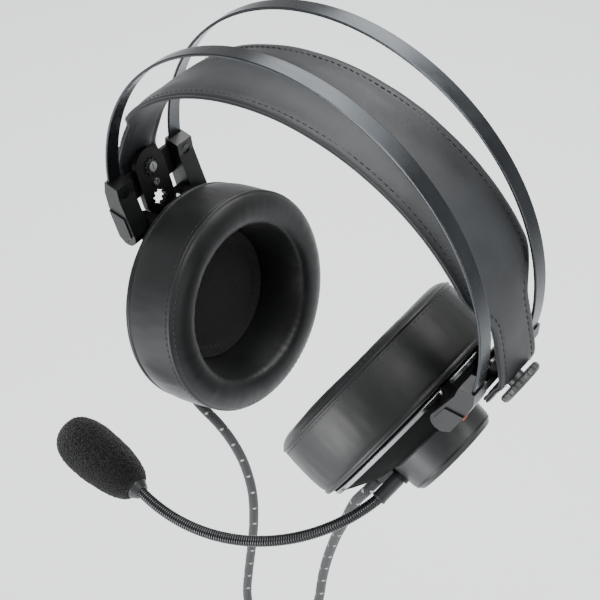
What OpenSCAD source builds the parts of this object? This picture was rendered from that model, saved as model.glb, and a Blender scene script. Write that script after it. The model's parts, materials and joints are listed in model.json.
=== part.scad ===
// Over-ear gaming headset: two spring bands, a hanging strap, tilting cups, a gooseneck microphone
// and a forked cable with an inline remote. X runs across the head, the front is -Y, +Z is up.
// The origin is the middle of the head, between the ear pads. The wearer's left is +X.

/* [Spring bands] */
// Half the width of the arch, at the middle of the steel
band_half_width = 96; // [95:0.5:97]
// Height of the arch above the middle of its ellipse
band_rise = 95.5; // [90:0.5:102]
// Height of the middle of the ellipse above the ear line
band_centre_z = 61; // [60:0.5:62]
// Distance of each band from the middle plane, front to back
band_y = 20.5; // [20:0.1:21]
// Width of the steel strip
band_width = 7.5; // [6.5:0.5:7.5]
// Thickness of the steel strip
band_thickness = 1.2; // [0.8:0.1:1.4]

/* [Head strap] */
// Half the width of the strap's arch, at the middle of its thickness
strap_half_width = 100; // [99.5:0.5:100.5]
// Rise of the strap's arch
strap_rise = 89; // [85:0.5:92]
// Height of the middle of the strap's ellipse
strap_centre_z = 45; // [43:0.5:46]
// Half the width of the strap over the head
strap_half_y = 22.5; // [20:0.5:23]
// Half the width of the tab at each end
tab_half_y = 12.5; // [11:0.5:13]
// Thickness of each leather layer
leather = 0.9; // [0.6:0.1:1]
// Thickness of the foam between the leather layers
foam = 0.9; // [0.6:0.1:1]

/* [End blocks] */
// Lean of the blocks, plates and knobs from upright
slant = 20; // [18:1:23]
// Distance of the upper knob hole from the middle
hole_x = 93.5; // [93:0.5:94]
// Height of the upper knob hole
hole_z = 47.8; // [47:0.2:48.4]
// Distance between the upper and lower knob holes
hole_pitch = 16.2; // [15:0.2:17]
// Radius of the knob's disc
knob_r = 10.4; // [9:0.2:11]

/* [Ear cups] */
// Inward lean of the left cup as drawn
left_tilt = 23; // [20:1:26]
// Inward lean of the right cup as drawn
right_tilt = 20; // [18:1:26]
// Outer radius of the ear pad
pad_r = 52.5; // [50:0.5:53]
// Radius of the pad's inner lip, where the wall of the opening starts
pad_lip_r = 37; // [36:0.5:39]
// Radius of the pad's opening, at its back
pad_hole_r = 31.5; // [31.5:0.5:34]
// Radius of the drum behind each cup
drum_r = 23; // [22.5:0.1:23.4]

/* [Microphone] */
// Radius of the gooseneck
neck_r = 2.6; // [2:0.1:2.8]
// Bend radius of the gooseneck as drawn
neck_bend_r = 87.5; // [85:0.5:90]
// Radius of the foam windscreen
windscreen_r = 12.8; // [11:0.2:13]

/* [Cable] */
// Diameter of the braided cable
cable_d = 5; // [4:0.5:5]

/* [Hidden] */
$fn = 64;

steel = "#3a3b3f";
plastic = "#2e3034";
dark = "#18191c";
leather_colour = "#26272b";
bright = "#b8babd";
cord = "#3c3d42";

snug = 0.05;         // clearance of a pin in its bore
eps = 0.01;

// Pivots of the cups, and where they are in a cup's own frame: x outward along the cup's axis, z up
pivot_x = 84.5;
pivot_z = 27;
cup_pivot_x = 37.5;
cup_pivot_z = 44;
pivot_pin_r = 2;
arm_inner_y = 15.5;
arm_outer_y = 25.2;
cover_t = 0.8;

// Depths along the cup's axis, from the pad's piping outward
pad_back_x = 22.5;
baffle_x = 22.6;
shell_x = 24.8;
drum_x = 39.4;
cap_x = 51.8;

function ellipse_points(a, b, zc, from, to, n) =
    [for (i = [0 : n]) let (t = from + (to - from) * i / n) [a * cos(t), zc + b * sin(t)]];

// Unit normal of an ellipse at angle t, pointing outward
function ellipse_normal(a, b, t) =
    let (nx = b * cos(t), nz = a * sin(t), l = norm([nx, nz])) [nx / l, nz / l];

// Closed outline of a strip that follows an ellipse, between two offsets from it
function strip(a, b, zc, inner, outer, from, to, n) = concat(
    [for (i = [0 : n]) let (t = from + (to - from) * i / n, e = ellipse_normal(a, b, t))
        [a * cos(t) + outer * e[0], zc + b * sin(t) + outer * e[1]]],
    [for (i = [n : -1 : 0]) let (t = from + (to - from) * i / n, e = ellipse_normal(a, b, t))
        [a * cos(t) + inner * e[0], zc + b * sin(t) + inner * e[1]]]);

// Extrudes an outline drawn in X and Z along Y, about the middle plane
module along_y(length) {
    rotate([90, 0, 0])
        linear_extrude(height = length, center = true)
            children();
}

// Spins an outline drawn as (radius, x) about the X axis
module spin() {
    rotate([0, 90, 0])
        rotate_extrude()
            children();
}

// Row position of a point in a cup's own frame, on the left side, and of its direction
function cup_point(p, tilt) = cup_way(p - [cup_pivot_x, 0, cup_pivot_z], tilt) + [pivot_x, 0, pivot_z];

function cup_way(v, tilt) =
    [v[0] * cos(tilt) + v[2] * sin(tilt), v[1], v[2] * cos(tilt) - v[0] * sin(tilt)];

// Puts a cup-frame part in its place on the left side
module left_cup() {
    translate([pivot_x, 0, pivot_z])
        rotate([0, left_tilt, 0])
            translate([-cup_pivot_x, 0, -cup_pivot_z])
                children();
}

// Puts a cup-frame part in its place on the right side
module right_cup() {
    mirror([1, 0, 0])
        translate([pivot_x, 0, pivot_z])
            rotate([0, right_tilt, 0])
                translate([-cup_pivot_x, 0, -cup_pivot_z])
                    children();
}

// The leaning frame of an end block: x outward, z up, origin at the upper knob hole
module block_frame() {
    translate([hole_x, 0, hole_z])
        rotate([0, slant, 0])
            children();
}

module right_side() {
    mirror([1, 0, 0])
        children();
}

/* ---- Spring bands ---- */

band_end_angle = 12;     // how far below its middle the ellipse runs, in degrees
rivet_z = 47.5;
rivet_x = band_half_width * sqrt(1 - pow((rivet_z - band_centre_z) / band_rise, 2));

module band_profile(extra) {
    polygon(strip(band_half_width, band_rise, band_centre_z,
        -band_thickness / 2 - extra, band_thickness / 2 + extra,
        -band_end_angle - extra, 180 + band_end_angle + extra, 60));
}

module band(y) {
    difference() {
        translate([0, y, 0])
            along_y(band_width)
                band_profile(0);
        for (s = [-1, 1])
            translate([s * rivet_x, y, rivet_z])
                rotate([0, 90, 0])
                    cylinder(r = 1.35, h = 8, center = true);
    }
}

module front_band() {
    color(steel)
        band(-band_y);
}

module rear_band() {
    color(steel)
        band(band_y);
}

/* ---- Head strap ---- */

strap_t = 2 * leather + foam;
tab_offset = 6;           // tab's distance outward from the adjuster plate
tab_end = 11.5;           // tab's reach below the knob
hub_r = 4;
tab_hole_r = 4.5;
tab_straight = 6;

function block_point(x, z) =
    [hole_x + x * cos(slant) + z * sin(slant), hole_z - x * sin(slant) + z * cos(slant)];

// One side of the strap, from the tab's end up over the arch, at an offset from the middle layer
function strap_side(o) = concat(
    [block_point(tab_offset + o, -tab_end), block_point(tab_offset + o, 0),
     block_point(tab_offset + o, tab_straight)],
    [for (i = [0 : 40]) let (t = 10 + 160 * i / 40, e = ellipse_normal(strap_half_width, strap_rise, t))
        [strap_half_width * cos(t) + o * e[0], strap_centre_z + strap_rise * sin(t) + o * e[1]]],
    [for (p = [block_point(tab_offset + o, tab_straight), block_point(tab_offset + o, 0),
        block_point(tab_offset + o, -tab_end)]) [-p[0], p[1]]]);

function reversed(v) = [for (i = [len(v) - 1 : -1 : 0]) v[i]];

neck_top_z = 96;          // where the strap starts to narrow
neck_low_z = 80;          // where the tab's own width starts

module strap_plan(inset) {
    w = strap_half_y - inset;
    t = tab_half_y - inset;
    polygon([[-w, 150], [-w, neck_top_z], [-w + 3, neck_top_z - 6], [-t - 2, neck_low_z + 2],
        [-t, neck_low_z - 6], [-t, 39], [-t + 5, 32], [t - 5, 32], [t, 39], [t, neck_low_z - 6],
        [t + 2, neck_low_z + 2], [w - 3, neck_top_z - 6], [w, neck_top_z], [w, 150]]);
}

module strap_layer(inner, outer, inset) {
    difference() {
        intersection() {
            along_y(60)
                polygon(concat(strap_side(outer), reversed(strap_side(inner))));
            rotate([90, 0, 90])
                linear_extrude(height = 240, center = true)
                    strap_plan(inset);
        }
        block_frame()
            rotate([0, 90, 0])
                cylinder(r = tab_hole_r, h = 40, center = true);
        right_side()
            block_frame()
                rotate([0, 90, 0])
                    cylinder(r = tab_hole_r, h = 40, center = true);
    }
}

module strap_cover() {
    color(leather_colour)
        strap_layer(foam / 2, strap_t / 2, 0);
}

module strap_foam() {
    color(dark)
        strap_layer(-foam / 2, foam / 2, 1.2);
}

module strap_lining() {
    color(dark)
        strap_layer(-strap_t / 2, -foam / 2, 0);
}

/* ---- End blocks ---- */

plate_r = 9;
rivet_head_r = 2.5;
rivet_head_x = 6.2;
plate_t = 3;
boss_r = 4.8;
bar_back = 3.6;
bar_top = 2;
bar_low = 11.5;

module arm_profile() {
    polygon([[89.6, 51.6], [97, 52.6], [97.2, 46.5], [95.3, 39.5], [89.6, 24.6],
        [pivot_x, pivot_z - boss_r], [80.4, 29.4], [88.4, 46]]);
    translate([pivot_x, pivot_z])
        circle(r = boss_r);
}

module arm(s) {
    translate([0, s * (arm_inner_y + arm_outer_y) / 2, 0])
        along_y(arm_outer_y - arm_inner_y)
            arm_profile();
}

module yoke() {
    color(plastic)
        difference() {
            union() {
                for (s = [-1, 1])
                    arm(s);
                block_frame()
                    translate([plate_t / 2, -arm_inner_y - eps, -bar_low])
                        cube([bar_back - plate_t / 2, 2 * arm_inner_y + 2 * eps, bar_low + bar_top]);
            }
            block_frame() {
                rotate([0, 90, 0])
                    cylinder(r = 6.5, h = 12);
                translate([0, 0, -hole_pitch / 2])
                    rotate([0, 90, 0])
                        cylinder(r = 1.05, h = 8);
            }
            for (s = [-1, 1]) {
                translate([0, s * band_y, 0])
                    along_y(band_width + 0.1)
                        band_profile(0.05);
                translate([rivet_x - 9, s * band_y, rivet_z])
                    rotate([0, 90, 0]) {
                        cylinder(r = 1.3 + snug, h = 10.4);
                        cylinder(r = rivet_head_r + snug, h = 9 - rivet_head_x + 1.45);
                    }
            }
            translate([pivot_x, 0, pivot_z])
                rotate([90, 0, 0])
                    cylinder(r = pivot_pin_r, h = 60, center = true);
            marker_place()
                cylinder(r = marker_r + snug, h = 2, center = true);
        }
}

module left_yoke() {
    yoke();
}

module right_yoke() {
    right_side()
        yoke();
}

// Plates over the lower part of each arm's outer face, which hide the pivot pins
module cover_profile() {
    polygon([[94.4, 38], [88.8, 25.6], [84.8, 23.2], [81.6, 28.4], [85.6, 37.2]]);
}

module cover_pair() {
    for (s = [-1, 1])
        translate([0, s * (arm_outer_y + cover_t / 2), 0])
            along_y(cover_t)
                cover_profile();
}

module yoke_covers() {
    color(plastic) {
        cover_pair();
        right_side()
            cover_pair();
    }
}

module toothed_hole() {
    cylinder(r = 3.5, h = 10, center = true);
    for (i = [0 : 9])
        rotate([0, 0, 36 * i])
            translate([3.6, 0, 0])
                cube([1.6, 1.1, 10], center = true);
}

module adjuster_plate() {
    color(dark)
        block_frame()
            rotate([0, 90, 0])
                difference() {
                    union() {
                        cylinder(r = plate_r, h = plate_t, center = true);
                        translate([hole_pitch, 0, 0])
                            cylinder(r = plate_r, h = plate_t, center = true);
                        translate([hole_pitch / 2, 0, 0])
                            cube([hole_pitch, 2 * plate_r, plate_t], center = true);
                    }
                    toothed_hole();
                    translate([hole_pitch, 0, 0])
                        toothed_hole();
                    translate([hole_pitch / 2, 0, 0])
                        cylinder(r = 1.05, h = 10, center = true);
                }
}

module left_adjuster_plate() {
    adjuster_plate();
}

module right_adjuster_plate() {
    right_side()
        adjuster_plate();
}

module plate_screw() {
    block_frame()
        translate([0, 0, -hole_pitch / 2])
            rotate([0, 90, 0])
                difference() {
                    union() {
                        translate([0, 0, -plate_t / 2 - 0.9])
                            cylinder(r = 1.8, h = 0.9);
                        translate([0, 0, -plate_t / 2 - eps])
                            cylinder(r = 1, h = 4.9);
                    }
                    translate([0, 0, -plate_t / 2 - 1])
                        cylinder(r = 0.8, h = 0.7, $fn = 6);
                }
}

module plate_screws() {
    color(bright) {
        plate_screw();
        right_side()
            plate_screw();
    }
}

module band_rivets() {
    for (s = [-1, 1])
        translate([rivet_x, s * band_y, rivet_z])
            rotate([0, 90, 0]) {
                translate([0, 0, -rivet_head_x])
                    cylinder(r = rivet_head_r, h = 1.4);
                translate([0, 0, 1.3 - rivet_head_x])
                    cylinder(r = 1.3, h = rivet_head_x);
            }
}

module band_pins() {
    color(dark) {
        band_rivets();
        right_side()
            band_rivets();
    }
}

pin_inner_y = 10.5;
pin_l = arm_outer_y - 0.2 - pin_inner_y;

module pivot_pair() {
    for (s = [-1, 1])
        translate([pivot_x, s * (pin_inner_y + pin_l / 2), pivot_z])
            rotate([90, 0, 0])
                cylinder(r = pivot_pin_r, h = pin_l, center = true);
}

module pivot_pins() {
    color(bright) {
        pivot_pair();
        right_side()
            pivot_pair();
    }
}

marker_r = 1.4;

// Middle of the marker, on the leaning outer face of the left front arm
module marker_place() {
    translate([91.6, -18.6, 29.8])
        rotate([0, 110.5, 0])
            children();
}

module side_marker() {
    color("#c8502a")
        marker_place()
            cylinder(r = marker_r, h = 1.6, center = true);
}

/* ---- Strap knobs ---- */

knob_disc_x = 9.8;
knob_t = 3.4;
hub_x = 1.8;             // the hub starts just outside the adjuster plate

module knob() {
    color(plastic)
        block_frame()
            rotate([0, 90, 0])
                difference() {
                    union() {
                        translate([0, 0, -2])
                            cylinder(r = 3.25, h = hub_x + 2 + eps);
                        for (i = [0 : 9])
                            rotate([0, 0, 36 * i])
                                translate([3.4, 0, -0.3])
                                    cube([1.3, 0.7, 3.4], center = true);
                        translate([0, 0, hub_x])
                            cylinder(r = hub_r, h = knob_disc_x - hub_x + eps);
                        translate([0, 0, knob_disc_x])
                            cylinder(r1 = knob_r - 0.8, r2 = knob_r, h = 0.8);
                        translate([0, 0, knob_disc_x + 0.8])
                            cylinder(r = knob_r, h = knob_t - 1.8);
                        translate([0, 0, knob_disc_x + knob_t - 1])
                            cylinder(r1 = knob_r, r2 = knob_r - 1, h = 1);
                    }
                    translate([0, 0, -3])
                        cylinder(r = 1.2 + snug, h = 9);
                    translate([0, 0, knob_disc_x + knob_t - 0.8])
                        cylinder(r1 = knob_r - 3, r2 = knob_r - 2.4, h = 1);
                    for (i = [0 : 23])
                        rotate([0, 0, 15 * i])
                            translate([knob_r + 0.35, 0, knob_disc_x + knob_t / 2])
                                cylinder(r = 0.7, h = 6, center = true);
                }
}

module knob_screw() {
    color(bright)
        block_frame()
            rotate([0, 90, 0])
                difference() {
                    union() {
                        translate([0, 0, -3.2])
                            cylinder(r = 2.3, h = 1.2);
                        translate([0, 0, -2 - eps])
                            cylinder(r = 1.2, h = 7.5);
                    }
                    translate([0, 0, -3.3])
                        cube([3.4, 0.6, 1], center = true);
                }
}

module left_knob() {
    knob();
}

module right_knob() {
    right_side()
        knob();
}

module left_knob_screw() {
    knob_screw();
}

module right_knob_screw() {
    right_side()
        knob_screw();
}

/* ---- Ear cups, in the cup's own frame ---- */

rim_r = 49.4;
screw_circle_r = 40;

// Outer outline of the dish behind the pad, as (radius, x)
dish_outline = [[rim_r, shell_x], [rim_r, 26.6], [48.4, 28.6], [45.8, 30.6], [42, 32.8],
    [36, 35.8], [29.5, 38.4], [24, drum_x]];
dish_inside = [[21, drum_x], [21, 37.2], [23.6, 37.2], [28.9, 36.2], [35.2, 33.7], [41, 30.8],
    [44.5, 28.8], [46.6, 27.2], [47.3, 25.8], [47.3, shell_x]];

module dish_solid() {
    spin()
        polygon(concat([[0, shell_x - 3], [rim_r, shell_x - 3]], dish_outline, [[0, drum_x]]));
}

// Socket of the microphone: its axis leaves the drum forward and down
mic_x = 44;
mic_angle = 35;
mic_boss_r = 4.4;

module mic_axis() {
    translate([mic_x, 0, 0])
        rotate([90 + mic_angle, 0, 0])
            children();
}

// Gland of the cable: it leaves the dish forward and further down
gland_x = 38.9;
gland_angle = 61;
gland_end = 35;

module gland_axis() {
    translate([gland_x, 0, 0])
        rotate([90 + gland_angle, 0, 0])
            children();
}

module screw_places() {
    for (i = [0 : 3])
        rotate([45 + 90 * i, 0, 0])
            translate([0, 0, screw_circle_r])
                rotate([0, 90, 0])
                    children();
}

module cup_shell() {
    color(plastic)
        difference() {
            union() {
                spin()
                    polygon(concat(dish_outline, dish_inside));
                screw_places()
                    translate([0, 0, shell_x])
                        cylinder(r = 2.6, h = 6.3);
            }
            screw_places()
                translate([0, 0, shell_x - 1])
                    cylinder(r = 1 + snug, h = 5.6);
            spin()
                polygon([[44.6, 28.4], [52, 28.4], [52, 30.6], [44.6, 30.6]]);
        }
}

module trim_ring() {
    color(bright)
        spin()
            polygon([[44.7, 28.5], [48.9, 28.5], [49.1, 29], [48.1, 30.5], [44.7, 30.5]]);
}

module drum(with_mic) {
    color(plastic)
        difference() {
            spin()
                polygon([[21.2, drum_x], [drum_r, drum_x], [drum_r + 0.4, drum_x + 1.2],
                    [drum_r - 0.3, cap_x], [21.2, cap_x]]);
            if (with_mic)
                mic_axis()
                    cylinder(r = mic_boss_r, h = 30);
        }
}

module drum_cap() {
    color(dark)
        spin()
            polygon([[0, cap_x], [22.4, cap_x], [22.4, 52.9], [20.4, 55], [17.6, 55.3],
                [16.8, 54.4], [0, 54.4]]);
}

// Lug on top of the dish: two ears that turn on the pivot pins, joined by a low hump, which
// stays clear of the adjuster plate's lower end
lug_half_y = 14.9;
ear_inner_y = 10.3;
ear_r = 5.2;

module ear_profile() {
    polygon([[32.6, 48], [29, 48.6], [26.8, 46], [30, 23.4], [40.6, 23.4], [41.4, 34],
        [cup_pivot_x + ear_r, cup_pivot_z], [cup_pivot_x, cup_pivot_z + ear_r]]);
    translate([cup_pivot_x, cup_pivot_z])
        circle(r = ear_r);
}

module hinge_lug() {
    color(plastic)
        difference() {
            union() {
                for (s = [-1, 1])
                    translate([0, s * (lug_half_y + ear_inner_y) / 2, 0])
                        along_y(lug_half_y - ear_inner_y)
                            ear_profile();
                along_y(2 * ear_inner_y + eps)
                    polygon([[32.5, 40], [40.4, 36], [41.2, 32], [40.6, 23.4], [30, 23.4]]);
            }
            dish_solid();
            spin()
                polygon([[40, 28.3], [49.4, 28.3], [49.4, 30.8], [40, 30.8]]);
            spin()
                polygon([[0, drum_x - 1], [drum_r + 0.6, drum_x - 1], [drum_r + 0.6, 60], [0, 60]]);
            translate([cup_pivot_x, 0, cup_pivot_z])
                rotate([90, 0, 0])
                    cylinder(r = pivot_pin_r + snug, h = 40, center = true);
        }
}

module baffle() {
    color(dark)
        difference() {
            spin()
                polygon([[21.5, baffle_x], [48.8, baffle_x], [49.2, 23.2], [49.2, shell_x],
                    [21.5, shell_x]]);
            screw_places() {
                translate([0, 0, baffle_x - 1])
                    cylinder(r = 1 + snug, h = 6);
                translate([0, 0, baffle_x - 0.1])
                    cylinder(r = 2, h = 1.2);
            }
        }
}

module baffle_screws() {
    color(bright)
        screw_places() {
            translate([0, 0, baffle_x + 0.1])
                cylinder(r = 1.9, h = 1);
            translate([0, 0, baffle_x + 1.1 - eps])
                cylinder(r = 1, h = 5);
        }
}

module driver() {
    color(bright)
        spin()
            polygon([[21.6, shell_x], [26, shell_x], [26, 27.4], [20.6, 31], [13.4, 31], [13, 35.4],
                [0, 35.4], [0, 29.6], [12, 29.6], [19.4, 27], [21.6, 25.6]]);
}

module diaphragm() {
    color("#8a8378")
        spin()
            polygon([[0, 23], [8, 23.5], [10, 24.3], [20, 23.8], [21.3, 24.4], [21.3, 24.7],
                [20, 24.2], [10, 24.7], [8, 23.9], [0, 23.4]]);
}

module ear_cloth() {
    color(dark)
        spin()
            polygon([[0, 22], [26, 22], [27.4, 20.6], [31.2, 20], [31.2, 20.8], [28, 21.3],
                [26.4, 22.5], [0, 22.5]]);
}

crown_half = (pad_r - pad_lip_r) / 2;
crown_h = 5.2;
skirt_x = 27.2;          // the pad's skirt wraps the edge of the dish down to here

module ear_pad() {
    color(leather_colour)
        spin()
            polygon(concat(
                [[pad_hole_r, pad_back_x], [rim_r + 0.3, pad_back_x], [rim_r + 0.3, skirt_x],
                    [pad_r - 0.8, skirt_x], [pad_r, skirt_x - 1.5]],
                [for (i = [0 : 12]) [pad_r - crown_half + crown_half * cos(15 * i),
                    1 - crown_h * sin(15 * i)]]));
}

module cable_gland() {
    color(dark)
        difference() {
            gland_axis() {
                translate([0, 0, 24])
                    cylinder(r = 4, h = 5.6);
                translate([0, 0, 29.6 - eps])
                    cylinder(r1 = 3.6, r2 = 3.1, h = gland_end - 29.6 + eps);
            }
            dish_solid();
            spin()
                polygon([[0, drum_x - 1], [drum_r + 0.5, drum_x - 1], [drum_r + 0.5, 60], [0, 60]]);
        }
}

module left_cup_shell() {
    left_cup()
        cup_shell();
}

module left_trim_ring() {
    left_cup()
        trim_ring();
}

module left_drum() {
    left_cup()
        drum(true);
}

module left_drum_cap() {
    left_cup()
        drum_cap();
}

module left_hinge_lug() {
    left_cup()
        hinge_lug();
}

module left_baffle() {
    left_cup()
        baffle();
}

module left_baffle_screws() {
    left_cup()
        baffle_screws();
}

module left_driver() {
    left_cup()
        driver();
}

module left_diaphragm() {
    left_cup()
        diaphragm();
}

module left_ear_cloth() {
    left_cup()
        ear_cloth();
}

module left_ear_pad() {
    left_cup()
        ear_pad();
}

module left_cable_gland() {
    left_cup()
        cable_gland();
}

module right_cup_shell() {
    right_cup()
        cup_shell();
}

module right_trim_ring() {
    right_cup()
        trim_ring();
}

module right_drum() {
    right_cup()
        drum(false);
}

module right_drum_cap() {
    right_cup()
        drum_cap();
}

module right_hinge_lug() {
    right_cup()
        hinge_lug();
}

module right_baffle() {
    right_cup()
        baffle();
}

module right_baffle_screws() {
    right_cup()
        baffle_screws();
}

module right_driver() {
    right_cup()
        driver();
}

module right_diaphragm() {
    right_cup()
        diaphragm();
}

module right_ear_cloth() {
    right_cup()
        ear_cloth();
}

module right_ear_pad() {
    right_cup()
        ear_pad();
}

module right_cable_gland() {
    right_cup()
        cable_gland();
}

/* ---- Microphone ---- */

jack_r = 1.75;
socket_face = 24.6;
sleeve_end = 38;
sleeve_r = 3.3;

module mic_socket() {
    color(dark)
        left_cup()
            mic_axis()
                difference() {
                    translate([0, 0, 9])
                        cylinder(r = mic_boss_r - snug, h = socket_face - 9);
                    translate([0, 0, 10.6])
                        cylinder(r = jack_r + snug, h = 20);
                }
}

module mic_plug() {
    color(plastic)
        left_cup()
            mic_axis() {
                translate([0, 0, 11.4])
                    cylinder(r = jack_r, h = 13.5);
                translate([0, 0, socket_face + 0.2])
                    cylinder(r = sleeve_r, h = sleeve_end - socket_face - 1.4);
                translate([0, 0, sleeve_end - 1.2 - eps])
                    cylinder(r1 = sleeve_r + 0.3, r2 = sleeve_r, h = 1.2);
            }
}

// The gooseneck bends in one plane, which leans forward and down. In that plane x runs toward
// the wearer's right and y runs forward and down, from the end of the plug's sleeve.
neck_start = cup_point([mic_x, -sleeve_end * cos(mic_angle), -sleeve_end * sin(mic_angle)], left_tilt);
neck_lean = 32.7;
bend_centre = [82, -30.5];
neck_angles = [159.6, 133, 106.4, 79.8];
ball_gap = 3.2;

module neck_plane() {
    translate(neck_start)
        rotate([180 + neck_lean, 0, 0])
            mirror([1, 0, 0])
                children();
}

// Part of the bent tube, between two angles about the bend's centre
module neck_arc(from, to) {
    translate([bend_centre[0], bend_centre[1], 0])
        rotate([0, 0, to])
            rotate_extrude(angle = from - to)
                translate([neck_bend_r, 0])
                    circle(r = neck_r);
}

module neck_ball(angle) {
    translate([bend_centre[0] + neck_bend_r * cos(angle), bend_centre[1] + neck_bend_r * sin(angle), 0])
        rotate([25, 35, angle])
            sphere(r = neck_r - 0.15);
}

gap_angle = ball_gap / neck_bend_r * 180 / PI;

module gooseneck_base() {
    color(steel)
        neck_plane() {
            neck_arc(neck_angles[0] - 0.6, neck_angles[1]);
            neck_ball(neck_angles[1]);
        }
}

module gooseneck_middle() {
    color(steel)
        neck_plane() {
            neck_arc(neck_angles[1] - gap_angle, neck_angles[2]);
            neck_ball(neck_angles[2]);
        }
}

module gooseneck_tip() {
    color(steel)
        neck_plane()
            neck_arc(neck_angles[2] - gap_angle, neck_angles[3]);
}

// The microphone's head carries on along its own axis from the end of the gooseneck
head_turn = -5;

module mic_head() {
    neck_plane()
        translate([bend_centre[0] + neck_bend_r * cos(neck_angles[3]),
            bend_centre[1] + neck_bend_r * sin(neck_angles[3]), 0])
            rotate([0, 0, head_turn])
                rotate([0, 90, 0])
                    children();
}

module mic_housing() {
    color(plastic)
        mic_head()
            difference() {
                union() {
                    translate([0, 0, 0.2])
                        cylinder(r1 = 3.6, r2 = 5.4, h = 3);
                    translate([0, 0, 3.2 - eps])
                        cylinder(r = 5.4, h = 6);
                    translate([0, 0, 9.2 - 2 * eps])
                        cylinder(r = 4.6, h = 22);
                }
                translate([0, 0, 24])
                    cylinder(r = 3.1, h = 10);
            }
}

module mic_capsule() {
    color(bright)
        mic_head()
            translate([0, 0, 24.2])
                cylinder(r = 3, h = 6.4);
}

module mic_foam() {
    color(dark)
        mic_head()
            rotate_extrude()
                polygon(concat(
                    [[4.7, 4.4], [6.4, 4.2], [8.4, 6], [10.2, 11], [11.8, 18], [windscreen_r, 27]],
                    [for (i = [0 : 8]) [windscreen_r * cos(11.25 * i), 36 + 15.5 * sin(11.25 * i)]],
                    [[0, 31.4], [4.7, 31.4], [4.7, 9.4], [5.5, 9.3], [5.5, 4.4]]));
}

/* ---- Cable ---- */

cable_r = cable_d / 2;
fork = [-9, -8, -270];
fork_half_x = 3.3;
gland_way = [0, -sin(gland_angle + 90), cos(gland_angle + 90)];
gland_tip = [gland_x, 0, 0] + gland_end * gland_way;
mirror_x = [[-1, 0, 0], [0, 1, 0], [0, 0, 1]];
left_exit = cup_point(gland_tip, left_tilt);
left_exit_way = cup_way(gland_way, left_tilt);
right_exit = mirror_x * cup_point(gland_tip, right_tilt);
right_exit_way = mirror_x * cup_way(gland_way, right_tilt);
left_route = [left_exit + 0.5 * left_exit_way, left_exit + 5 * left_exit_way,
    left_exit + 9.5 * left_exit_way, [48.5, -22, -62], [43.5, -20.5, -82], [38, -18.3, -104],
    [34, -16.8, -126], [31.5, -15.9, -148], [30.3, -15.4, -172], [26.5, -14, -198], [17.5, -11.5, -222],
    [7, -9.3, -241], [-2, -8.2, -255], [fork[0] + fork_half_x, -8, fork[2] + 6],
    [fork[0] + fork_half_x, -8, fork[2]]];
right_route = [right_exit + 0.5 * right_exit_way, right_exit + 5 * right_exit_way,
    right_exit + 9.5 * right_exit_way, [-52.5, -19.5, -62], [-43.5, -14, -76], [-33, -9.5, -92],
    [-26, -7.3, -110], [-22, -7, -133], [-20.5, -7, -157], [-21.3, -7, -182], [-22.6, -7, -207],
    [-22.8, -7.2, -229], [-18.8, -7.7, -247], [fork[0] - fork_half_x, -8, fork[2] + 6],
    [fork[0] - fork_half_x, -8, fork[2]]];

function unit(v) = v / norm(v);

function heading(p, i) =
    unit(p[min(i + 1, len(p) - 1)] - p[max(i - 1, 0)]);

// Corner points of one ring of a tube, turned to face along the route
function ring(p, d, r, sides) =
    let (u = unit(cross(d, [0, 1, 0.2])), v = cross(d, u))
    [for (k = [0 : sides - 1]) p + r * (cos(360 * k / sides) * u + sin(360 * k / sides) * v)];

module tube(path, r, sides = 10) {
    n = len(path);
    points = [for (i = [0 : n - 1]) each ring(path[i], heading(path, i), r, sides)];
    faces = concat(
        [[for (k = [0 : sides - 1]) k]],
        [for (i = [0 : n - 2], k = [0 : sides - 1])
            [i * sides + k, (i + 1) * sides + k, (i + 1) * sides + (k + 1) % sides,
             i * sides + (k + 1) % sides]],
        [[for (k = [sides - 1 : -1 : 0]) (n - 1) * sides + k]]);
    polyhedron(points = points, faces = faces);
}

// A smooth route through hand-chosen points, with the given number of steps from each to the next
function eased(p, steps) = concat([for (i = [0 : len(p) - 2], s = [0 : steps - 1])
    let (a = p[max(i - 1, 0)], b = p[i], c = p[i + 1], d = p[min(i + 2, len(p) - 1)], t = s / steps)
    0.5 * (2 * b + (c - a) * t + (2 * a - 5 * b + 4 * c - d) * t * t
        + (3 * b - a - 3 * c + d) * t * t * t)], [p[len(p) - 1]]);

module left_cable() {
    color(cord)
        tube(eased(left_route, 2), cable_r);
}

module right_cable() {
    color(cord)
        tube(eased(right_route, 2), cable_r);
}

splitter_l = 24;
remote_top = fork[2] - splitter_l - 4;
remote_l = 46;
remote_half_x = 7;
remote_half_y = 4.6;

// The coil is wound in two layers of four turns
layer_step = cable_d + 0.2;
coil_outer_turn = 31.7;
coil_inner_turn = coil_outer_turn - layer_step;
coil_half_y = 2 * layer_step;
coil_centre = [fork[0] + coil_outer_turn, fork[1] + 1.5 * layer_step, remote_top - remote_l - 38];
coil_lead = 16;           // how far above and below the coil's middle the leads join it
tail_z = coil_centre[2] - 42;

module cable_splitter() {
    color(dark)
        translate([fork[0], fork[1], fork[2] - splitter_l]) {
            translate([0, 0, 14])
                linear_extrude(height = splitter_l - 14)
                    union() {
                        square([2 * fork_half_x, 8], center = true);
                        for (s = [-1, 1])
                            translate([fork_half_x * s, 0])
                                circle(r = 4);
                    }
            translate([0, 0, 7])
                cylinder(r1 = 4, r2 = 6, h = 7 + eps);
            cylinder(r = 3.6, h = 7 + eps);
        }
}

module lead(from, to) {
    translate([fork[0], fork[1], from])
        cylinder(r = cable_r, h = to - from);
}

module main_cable() {
    color(cord) {
        lead(remote_top, fork[2] - splitter_l);
        lead(coil_centre[2] + coil_lead, remote_top - remote_l);
        lead(tail_z, coil_centre[2] - coil_lead);
    }
}

module cable_coil() {
    color(cord)
        translate(coil_centre)
            rotate([90, 0, 0])
                rotate_extrude()
                    polygon([for (sy = [-1, 1], sx = [-1, 1])
                        each coil_corner(sx * sy, sy)]);
}

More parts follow.
